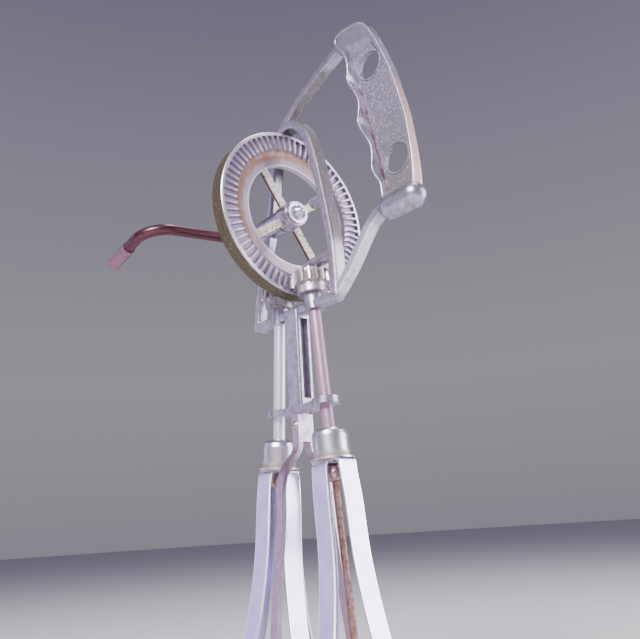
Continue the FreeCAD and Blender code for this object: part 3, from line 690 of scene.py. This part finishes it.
# ---------------------------------------------------------------- surfaces
def smooth_object(name: str, points: np.ndarray, faces: list[list[int]]) -> bpy.types.Object:
    """A smooth-shaded object from points and faces.

    Args:
        name: name of the object and its mesh.
        points: array of shape (count, 3), in metres.
        faces: each face's points, by index.

    Returns:
        The object, linked to the scene.
    """
    mesh = bpy.data.meshes.new(name)
    mesh.from_pydata(points.tolist(), [], faces)
    mesh.update()
    mesh.polygons.foreach_set("use_smooth", np.ones(len(mesh.polygons), dtype=bool))
    made = bpy.data.objects.new(name, mesh)
    bpy.context.scene.collection.objects.link(made)
    return made


def grid_quads(index: np.ndarray, around: bool) -> np.ndarray:
    """Quads over a grid.

    Args:
        index: the points' indices, of shape (rows, columns).
        around: whether the last column joins the first.

    Returns:
        Array of shape (count, 4).
    """
    here = index if around else index[:, :-1]
    there = np.roll(index, -1, axis=1) if around else index[:, 1:]
    return np.stack([here[:-1], there[:-1], there[1:], here[1:]], axis=-1).reshape(-1, 4)


def shell(name: str, points: np.ndarray, around: bool, ends: bool) -> bpy.types.Object:
    """A closed or open sheet of quads over a grid of points.

    Args:
        name: name of the object.
        points: grid of shape (rows, columns, 3).
        around: whether the last column joins the first.
        ends: whether the first and the last row are closed by one face each.

    Returns:
        The object, facing outwards if it is closed.
    """
    rows, columns = points.shape[:2]
    index = np.arange(rows * columns).reshape(rows, columns)
    quads = grid_quads(index, around)
    flat = points.reshape(-1, 3)
    wide = np.cross(flat[quads[:, 2]] - flat[quads[:, 0]], flat[quads[:, 3]] - flat[quads[:, 1]])
    centre = flat.mean(axis=0)
    outward = np.einsum("ij,ij->i", flat[quads[:, 0]] - centre, wide).sum() > 0
    faces = quads.tolist()
    if ends:
        faces += [index[0, ::-1].tolist(), index[-1].tolist()]
    if not outward:
        faces = [face[::-1] for face in faces]
    return smooth_object(name, flat, faces)


def smooth_path(points: Sequence[tuple[float, float]], steps: int) -> np.ndarray:
    """A curve through flat points: each stretch is a cubic whose slope at a point is half the step past it.

    Args:
        points: (x, height above the axle) in millimetres.
        steps: samples in each stretch.

    Returns:
        Points of shape (count, 2), in millimetres.
    """
    knots = np.array(points, dtype=float)
    padded = np.vstack([2 * knots[0] - knots[1], knots, 2 * knots[-1] - knots[-2]])
    a, b, c, d = padded[:-3], padded[1:-2], padded[2:-1], padded[3:]
    t = (np.arange(steps) / steps)[None, :, None]
    a, b, c, d = (part[:, None, :] for part in (a, b, c, d))
    curve = 0.5 * (2 * b + (c - a) * t + (2 * a - 5 * b + 4 * c - d) * t**2 + (3 * b - a - 3 * c + d) * t**3)
    return np.vstack([curve.reshape(-1, 2), knots[-1:]])


# ---------------------------------------------------------------- sub-assemblies
@dataclass
class Assembly:
    """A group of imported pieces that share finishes, with the frame's own lookup of nodes."""

    nodes: dict[str, bpy.types.Object]

    def dress(self, name: str, material: bpy.types.Material) -> None:
        """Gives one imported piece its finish.

        Args:
            name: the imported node's name.
            material: its finish.
        """
        mesh = self.nodes[name].data
        mesh.materials.clear()
        mesh.materials.append(material)
        LOG.info("dressed %s in %s", name, material.name)

    def add(self, piece: bpy.types.Object, body: str, slot: str, material: bpy.types.Material) -> None:
        """Adds a new piece to a body.

        Args:
            piece: the object, in place.
            body: the body it moves with.
            slot: the record's material slot; not used.
            material: its finish.
        """
        piece.data.materials.append(material)
        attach(piece, body)
        LOG.info("added %s, %d faces", piece.name, len(piece.data.polygons))


@dataclass
class Casting(Assembly):
    """The cast frame: hoop, struts, handle, guard, stem and plate."""

    rim_width: float = 1.15 * MM
    rim_height: float = 0.4 * MM
    rim_sink: float = 0.12 * MM
    rim_inset: float = 0.06 * MM
    finger_depth: float = 4.5 * MM
    palm_depth: float = 2.0 * MM
    hole_radius: float = 5.9 * MM
    hole_bead: float = 0.45 * MM
    bead_sink: float = 0.05 * MM
    web_depth: float = 0.7 * MM
    finger_top: tuple[float, float] = (46.4, 56.5)
    palmward: tuple[float, float] = (0.983, 0.186)
    grip_width: float = 18.0 * MM
    holes: tuple[tuple[str, float, float], ...] = (("upper", 58.4, 45.6), ("lower", 68.1, -2.4))
    outline_steps: int = 8
    rim_steps: int = 9
    bead_steps: int = 7
    bead_turns: int = 72

    def handle_outline(self) -> np.ndarray:
        """The handle's outline from its front foot over the crown to its back foot.

        Returns:
            Points (x, z) of shape (count, 2), in metres.
        """
        front = [(61.3, -18.0), (60.8, -11.8), (58.8, -7.7), (57.2, -3.2), (57.7, 1.0), (57.5, 6.2), (55.7, 10.9),
                 (53.3, 15.6), (51.8, 20.7), (52.5, 24.2), (53.0, 28.7), (51.8, 33.4), (49.2, 38.5), (47.6, 43.1),
                 (48.2, 46.9), (48.0, 52.0), (46.4, 56.5)]
        crown = [(42.2, 63.6), (42.8, 67.4), (46.0, 68.8), (50.0, 68.9), (55.0, 68.0), (59.0, 65.0)]
        back = [(62.4, 59.0), (66.0, 50.1), (69.2, 40.9), (71.5, 33.2), (73.2, 25.2), (74.6, 19.1), (75.9, 11.7),
                (76.6, 3.3), (77.0, -2.7), (77.1, -7.7), (77.0, -14.0), (76.2, -18.0)]
        return smooth_path(front + crown + back, self.outline_steps) * MM + np.array([0.0, AXLE_Z])

    def side_depth(self, path: np.ndarray) -> np.ndarray:
        """Half the handle's depth: deep at the fingers, shallow at the palm.

        Args:
            path: points (x, z) of shape (count, 2), in metres.

        Returns:
            Half the depth at each point, in metres.
        """
        (top_x, top_rise), (way_x, way_z) = self.finger_top, self.palmward
        from_fingers = (path[:, 0] - top_x * MM) * way_x + (path[:, 1] - AXLE_Z - top_rise * MM) * way_z
        share = np.clip(from_fingers / self.grip_width, 0.0, None)
        return self.finger_depth + (self.palm_depth - self.finger_depth) * share

    def rim(self, way: int) -> np.ndarray:
        """A half-round bead just inside the handle's outline on one side: across the path it runs from the edge
        inwards, and it stands proud of the side there by a sine.

        Args:
            way: +1 or -1, the side of the handle.

        Returns:
            A grid of shape (path, profile, 3).
        """
        path = self.handle_outline()
        along = np.gradient(path, axis=0)
        along /= np.linalg.norm(along, axis=1, keepdims=True)
        left = np.stack([-along[:, 1], along[:, 0]], axis=1)
        turn = np.linspace(0.0, math.pi, self.rim_steps)
        across = self.rim_width / 2 * (np.cos(turn) - 1.0) - self.rim_inset
        flat = path[:, None, :] + left[:, None, :] * across[None, :, None]
        proud = self.rim_height * np.sin(turn) - self.rim_sink
        depth = way * (self.side_depth(path)[:, None] + proud[None, :])
        return np.stack([flat[..., 0], depth, flat[..., 1]], axis=-1)

    def hole_ring(self, x: float, rise: float, way: int) -> np.ndarray:
        """A low rounded bead round one hole, on one side of the web.

        Args:
            x: the hole's middle, in millimetres.
            rise: its height above the axle, in millimetres.
            way: +1 or -1, the side of the web.

        Returns:
            A grid of shape (profile, turns, 3).
        """
        turn = np.linspace(0.0, 2 * math.pi, self.bead_turns + 1)[:-1]
        arc = np.linspace(0.0, math.pi, self.bead_steps)
        radius = self.hole_radius + self.hole_bead * (1.0 - np.cos(arc))[:, None]
        proud = (self.web_depth + self.hole_bead * np.sin(arc) - self.bead_sink)[:, None]
        height = np.broadcast_to(proud, (self.bead_steps, self.bead_turns))
        level = AXLE_Z + rise * MM + radius * np.sin(turn)
        return np.stack([x * MM + radius * np.cos(turn), way * height, level], -1)

    def build(self) -> None:
        """Dresses the casting, rounds the handle's rims and beads its holes."""
        silver = SILVER.material()
        self.dress("frame_casting", silver)
        for way, label in ((-1, "near"), (1, "far")):
            self.add(shell(f"handle_rim_{label}", self.rim(way), True, True), "frame", "frame_alloy", silver)
            for place, x, rise in self.holes:
                ring = shell(f"{place}_hole_ring_{label}", self.hole_ring(x, rise, way), True, False)
                self.add(ring, "frame", "frame_alloy", silver)


@dataclass
class Legs(Assembly):
    """The bent strap, its rivets and the foot bar."""

    def build(self) -> None:
        """Dresses the legs and the foot."""
        leg, pin = LEG.material(), PIN.material()
        self.dress("leg_strap", leg)
        self.dress("foot_bar", FOOT.material())
        for name in ("leg_rivet", "foot_rivet"):
            self.dress(name, pin)


@dataclass
class Wheel(Assembly):
    """The crown wheel on the crank's axle, with rounded ribs on both faces."""

    teeth: int = 70
    inner: float = 31.9 * MM
    outer: float = 38.2 * MM
    rib_width: float = 1.0 * MM
    rib_height: float = 0.22 * MM
    rib_base: float = 3.62 * MM
    rib_steps: int = 7

    def ribs(self, face: Face) -> np.ndarray:
        """Rounded rib tops: each is a dome of half-round section along a radius, copied round by its turn.

        Args:
            face: which face of the wheel.

        Returns:
            Grids of shape (teeth, rows, columns, 3).
        """
        along = np.linspace(0.0, 1.0, self.rib_steps)
        swell = np.clip(np.sin(math.pi * along) * 2.2, 0.0, 1.0) ** 0.6
        arc = np.linspace(0.0, math.pi, self.rib_steps)
        rise = self.inner + (self.outer - self.inner) * along
        across = self.rib_width / 2 * np.cos(arc)[None, :] * (0.7 + 0.3 * swell)[:, None]
        proud = self.rib_base + self.rib_height * np.sin(arc)[None, :] * swell[:, None]
        turn = (np.arange(self.teeth) + 0.5) * 2 * math.pi / self.teeth
        cos, sin = np.cos(turn)[:, None, None], np.sin(turn)[:, None, None]
        up = np.broadcast_to(rise[None, :, None], (self.teeth, self.rib_steps, self.rib_steps))
        side = np.broadcast_to(across[None], up.shape)
        out = face.value * np.broadcast_to(proud[None], up.shape)
        return np.stack([out, side * cos - up * sin, AXLE_Z + side * sin + up * cos], axis=-1)

    def rib_crown(self, face: Face) -> bpy.types.Object:
        """All ribs of a face as one object.

        Args:
            face: which face of the wheel.

        Returns:
            The object.
        """
        points = self.ribs(face).reshape(-1, 3)
        each = self.rib_steps**2
        quads = grid_quads(np.arange(each).reshape(self.rib_steps, self.rib_steps), True)
        if face is Face.BACK:
            quads = quads[:, ::-1]
        faces: list[list[int]] = []
        for start in range(0, len(points), each):
            faces += (quads + start).tolist()
        return smooth_object(f"rib_tops_{face.name.lower()}", points, faces)

    def build(self) -> None:
        """Dresses the wheel, the crank and the axle's fittings."""
        metal = WHEEL.material()
        self.dress("gear_wheel", metal)
        for face in Face:
            self.add(self.rib_crown(face), "wheel", "wheel_metal", metal)
        self.dress("crank_rod", COPPER_ROD.material())
        self.dress("crank_ferrule", ROSE_SLEEVE.material())
        washer = WASHER.material()
        for name in ("thrust_washer", "hub_washer", "axle_nut"):
            self.dress(name, washer)
        self.dress("hub_pin", PIN.material())


@dataclass
class Beater(Assembly):
    """One beater: pinion, shaft, cap, blades, ball, spindle and collar."""

    side: Side

    def build(self) -> None:
        """Dresses the beater's pieces."""
        side = self.side
        prefix = side.name.lower()
        shaft = SILVER_SHAFT if side is Side.LEFT else MAUVE_SHAFT
        # the blades' lilac tones carry a painted reflection of a purple surround
        steel = {"light": (0.70, 0.66, 0.86), "dark": (0.52, 0.47, 0.70), "side": side}
        tones = {
            "drive_shaft": shaft,
            "pinion": PinionMetal(f"{prefix}_pinion_metal", (0.62, 0.59, 0.64), (0.36, 0.32, 0.35), side),
            "pinion_pin": PIN,
            "blade_cap": CapPlate(f"{prefix}_cap_plate", (0.76, 0.73, 0.80), (0.52, 0.48, 0.54), side),
            "outer_blade": BladeSteel(f"{prefix}_outer_blade_steel", crosswise=False, **steel),
            "inner_blade": BladeSteel(f"{prefix}_inner_blade_steel", crosswise=True, **steel),
            "ball_nut": BRONZE,
            "spindle": RUSTY_SPINDLE,
            "spindle_collar": FOOT,
        }
        for name, finish in tones.items():
            self.dress(f"{prefix}_{name}", finish.material())


# ---------------------------------------------------------------- surroundings
@dataclass
class Lamp:
    """One soft lamp.

    Attributes:
        name: its name.
        at: distances from the whisk's middle along the camera's right, up and back.
        size: width and height of its face.
        watts: power.
        tint: its colour.
    """

    name: str
    at: tuple[float, float, float]
    size: tuple[float, float]
    watts: float
    tint: Colour


LAMPS = (
    Lamp("key", (-0.40, 0.80, 0.60), (0.35, 0.30), 22.0, (1.0, 0.98, 1.0)),
    Lamp("right_panel", (0.92, 0.25, 0.0), (0.55, 0.8), 11.0, (0.97, 0.96, 1.0)),
    Lamp("left_panel", (-0.96, 0.10, -0.25), (0.35, 0.9), 1.6, (0.72, 0.62, 1.0)),
    Lamp("low_front", (0.25, -0.55, 0.80), (0.4, 0.2), 2.5, (1.0, 0.93, 0.90)),
    Lamp("top", (0.1, 1.0, -0.4), (0.5, 0.3), 8.0, (1.0, 0.97, 0.95)),
)
SKY_STOPS = (
    (0.0, (0.16, 0.13, 0.30)),
    (0.44, (0.60, 0.57, 0.72)),
    (0.60, (0.86, 0.85, 0.92)),
    (0.76, (0.62, 0.58, 0.76)),
    (1.0, (0.14, 0.11, 0.28)),
)


@dataclass
class Studio:
    """A pale floor, soft lamps and the camera, placed by the camera's own right, up and back."""

    eye: Vector = Vector((0.22742, -0.18143, 0.10098))
    right: Vector = Vector((0.6352, 0.7699, -0.0613))
    up: Vector = Vector((0.2584, -0.1371, 0.9563))
    back: Vector = Vector((0.7278, -0.6233, -0.2860))
    focal_mm: float = 38.82
    sensor_mm: float = 36.0
    clip_start: float = 0.005
    floor_rings: tuple[float, ...] = (0.0005, 0.25, 0.8, 2.0, 6.0)
    floor_turns: int = 64
    floor_level: float = -0.0004
    sky_strength: float = 0.36
    heart: Vector = Vector((0.0, 0.0, 0.17))

    def floor(self) -> None:
        """A wide flat disc just under the foot, with a faint paper grain."""
        turn = np.linspace(0.0, 2 * math.pi, self.floor_turns + 1)[:-1]
        flat = np.array(self.floor_rings)[:, None, None] * np.stack([np.cos(turn), np.sin(turn)], axis=-1)[None]
        level = np.full(flat.shape[:2] + (1,), self.floor_level)
        disc = shell("floor", np.concatenate([flat, level], axis=-1), True, False)
        net = Net("pale_floor")
        tone = net.mix(net.noise(30, 3).rise(0.3, 0.7), (0.80, 0.79, 0.83), (0.77, 0.76, 0.80))
        net.close(tone, 0.7, 0.0, net.bump(net.noise(900, 3), 0.05 * MM, 0.3))
        disc.data.materials.append(net.material)

    def light(self, lamp: Lamp) -> None:
        """Adds one soft lamp that faces the whisk.

        Args:
            lamp: where it stands and what it gives.
        """
        data = bpy.data.lights.new(lamp.name, "AREA")
        data.shape = "RECTANGLE"
        data.size, data.size_y = lamp.size
        data.energy = lamp.watts
        data.color = lamp.tint
        made = bpy.data.objects.new(lamp.name, data)
        right, up, back = lamp.at
        made.location = self.heart + self.right * right + self.up * up + self.back * back
        made.rotation_euler = (made.location - self.heart).to_track_quat("Z", "Y").to_euler()
        bpy.context.scene.collection.objects.link(made)

    def sky(self) -> None:
        """A pale surround, a little darker overhead and below so that the metal has something to mirror."""
        world = bpy.data.worlds.new("soft_surround")
        world.use_nodes = True
        nodes, links = world.node_tree.nodes, world.node_tree.links
        nodes.clear()
        place = nodes.new("ShaderNodeTexCoord")
        split = nodes.new("ShaderNodeSeparateXYZ")
        ramp = nodes.new("ShaderNodeMapRange")
        tone = nodes.new("ShaderNodeValToRGB")
        sky, out = nodes.new("ShaderNodeBackground"), nodes.new("ShaderNodeOutputWorld")
        ramp.inputs["From Min"].default_value = -1.0
        while len(tone.color_ramp.elements) < len(SKY_STOPS):
            tone.color_ramp.elements.new(0.5)
        for element, (at, colour) in zip(tone.color_ramp.elements, SKY_STOPS):
            element.position = at
            element.color = (*colour, 1.0)
        links.new(place.outputs["Generated"], split.inputs[0])
        links.new(split.outputs["Z"], ramp.inputs["Value"])
        links.new(ramp.outputs[0], tone.inputs[0])
        links.new(tone.outputs[0], sky.inputs["Color"])
        sky.inputs["Strength"].default_value = self.sky_strength
        links.new(sky.outputs[0], out.inputs["Surface"])
        bpy.context.scene.world = world

    def camera(self) -> None:
        """The camera, turned by its right, up and back directions."""
        data = bpy.data.cameras.new("camera")
        data.lens = self.focal_mm
        data.sensor_width = self.sensor_mm
        data.clip_start = self.clip_start
        made = bpy.data.objects.new("camera", data)
        turn = Matrix((self.right, self.up, self.back)).transposed()
        made.matrix_world = Matrix.Translation(self.eye) @ turn.to_4x4()
        bpy.context.scene.collection.objects.link(made)
        bpy.context.scene.camera = made

    def build(self) -> None:
        """Sets everything round the whisk."""
        self.floor()
        self.sky()
        self.camera()
        for lamp in LAMPS:
            self.light(lamp)


def main() -> None:
    """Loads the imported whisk, dresses it, adds its fine detail and sets the studio."""
    logging.basicConfig(level=logging.INFO, format="%(message)s")
    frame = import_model()
    nodes = frame["nodes"]
    for group in (Casting(nodes), Legs(nodes), Wheel(nodes), Beater(nodes, Side.LEFT), Beater(nodes, Side.RIGHT)):
        group.build()
    Studio().build()


if __name__ == "__main__":
    main()
